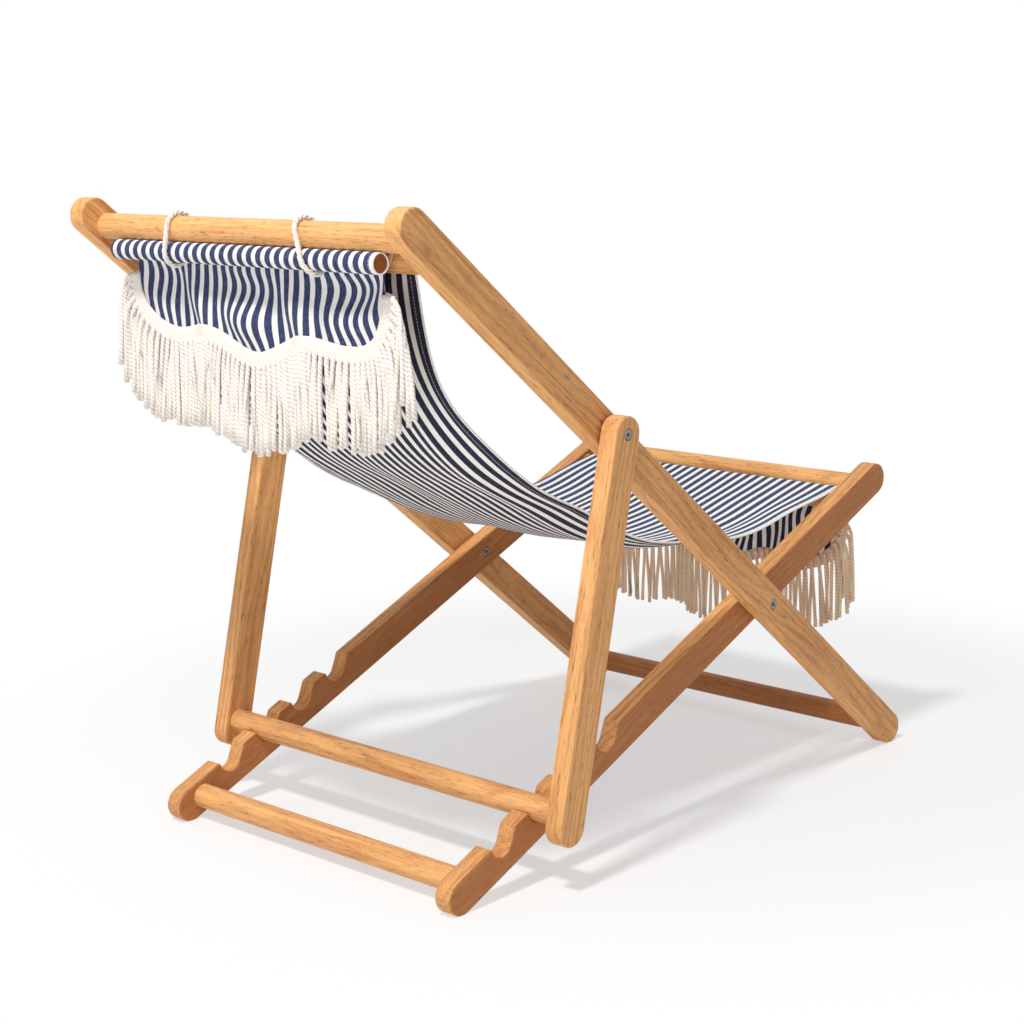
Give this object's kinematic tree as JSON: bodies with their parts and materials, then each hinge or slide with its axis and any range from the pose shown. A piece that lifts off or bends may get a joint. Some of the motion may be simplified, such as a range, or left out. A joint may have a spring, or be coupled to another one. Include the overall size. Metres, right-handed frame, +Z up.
{
  "type": "folding sling chair",
  "caption": "Folding timber deck chair with crossed frames, a notched seat frame for a swinging prop, and a striped cloth sling with fringed valances.",
  "frame": {"origin": "middle of the footprint on the floor", "axes": "+Z up, -Y the way the sitter faces, +X the sitter's left"},
  "size_m": [0.6, 0.9536, 0.7743],
  "materials": {
    "teak_rail": "oiled teak",
    "teak_bar": "oiled teak",
    "dowel_wood": "plain brown hardwood",
    "pivot_steel": "stainless steel",
    "striped_cloth": "woven cotton canvas in navy and white stripes",
    "tie_rope": "twisted cotton rope",
    "cotton_fringe": "twisted cotton fringe on a woven tape"
  },
  "bodies": {
    "seat_frame": {"seat_rail_left": "teak_rail", "seat_rail_right": "teak_rail", "front_bar": "teak_bar", "front_slot_bar": "teak_bar", "rear_bar": "teak_bar", "front_sling_dowel": "dowel_wood", "front_valance": "striped_cloth", "front_fringe": "cotton_fringe", "sling": "striped_cloth"},
    "back_frame": {"back_rail_left": "teak_rail", "back_rail_right": "teak_rail", "top_bar": "teak_bar", "top_slot_bar": "teak_bar", "foot_bar": "teak_bar", "top_sling_dowel": "dowel_wood", "top_rope_left": "tie_rope", "top_rope_right": "tie_rope", "back_valance": "striped_cloth", "back_fringe": "cotton_fringe", "cross_bolt_left": "pivot_steel", "cross_bolt_right": "pivot_steel", "cross_sleeve_nut_left": "pivot_steel", "cross_sleeve_nut_right": "pivot_steel", "cross_washer_left": "pivot_steel", "cross_washer_right": "pivot_steel"},
    "prop_frame": {"strut_left": "teak_rail", "strut_right": "teak_rail", "prop_rod": "teak_bar", "strut_bolt_left": "pivot_steel", "strut_bolt_right": "pivot_steel", "strut_sleeve_nut_left": "pivot_steel", "strut_sleeve_nut_right": "pivot_steel", "strut_washer_left": "pivot_steel", "strut_washer_right": "pivot_steel"}
  },
  "joints": [
    {"name": "back_fold", "type": "hinge", "parent": "seat_frame", "child": "back_frame", "pos_m": [0, -0.16792, 0.25159], "axis": [1, 0, 0], "range_deg": [0, 110], "deforming": ["sling"]},
    {"name": "strut_swing", "type": "hinge", "parent": "back_frame", "child": "prop_frame", "pos_m": [0, 0.15506, 0.51138], "axis": [1, 0, 0], "range_deg": [-55, 0]}
  ],
  "couplings": [
    {"joint": "strut_swing", "follows": "back_fold", "ratio": -0.5}
  ]
}
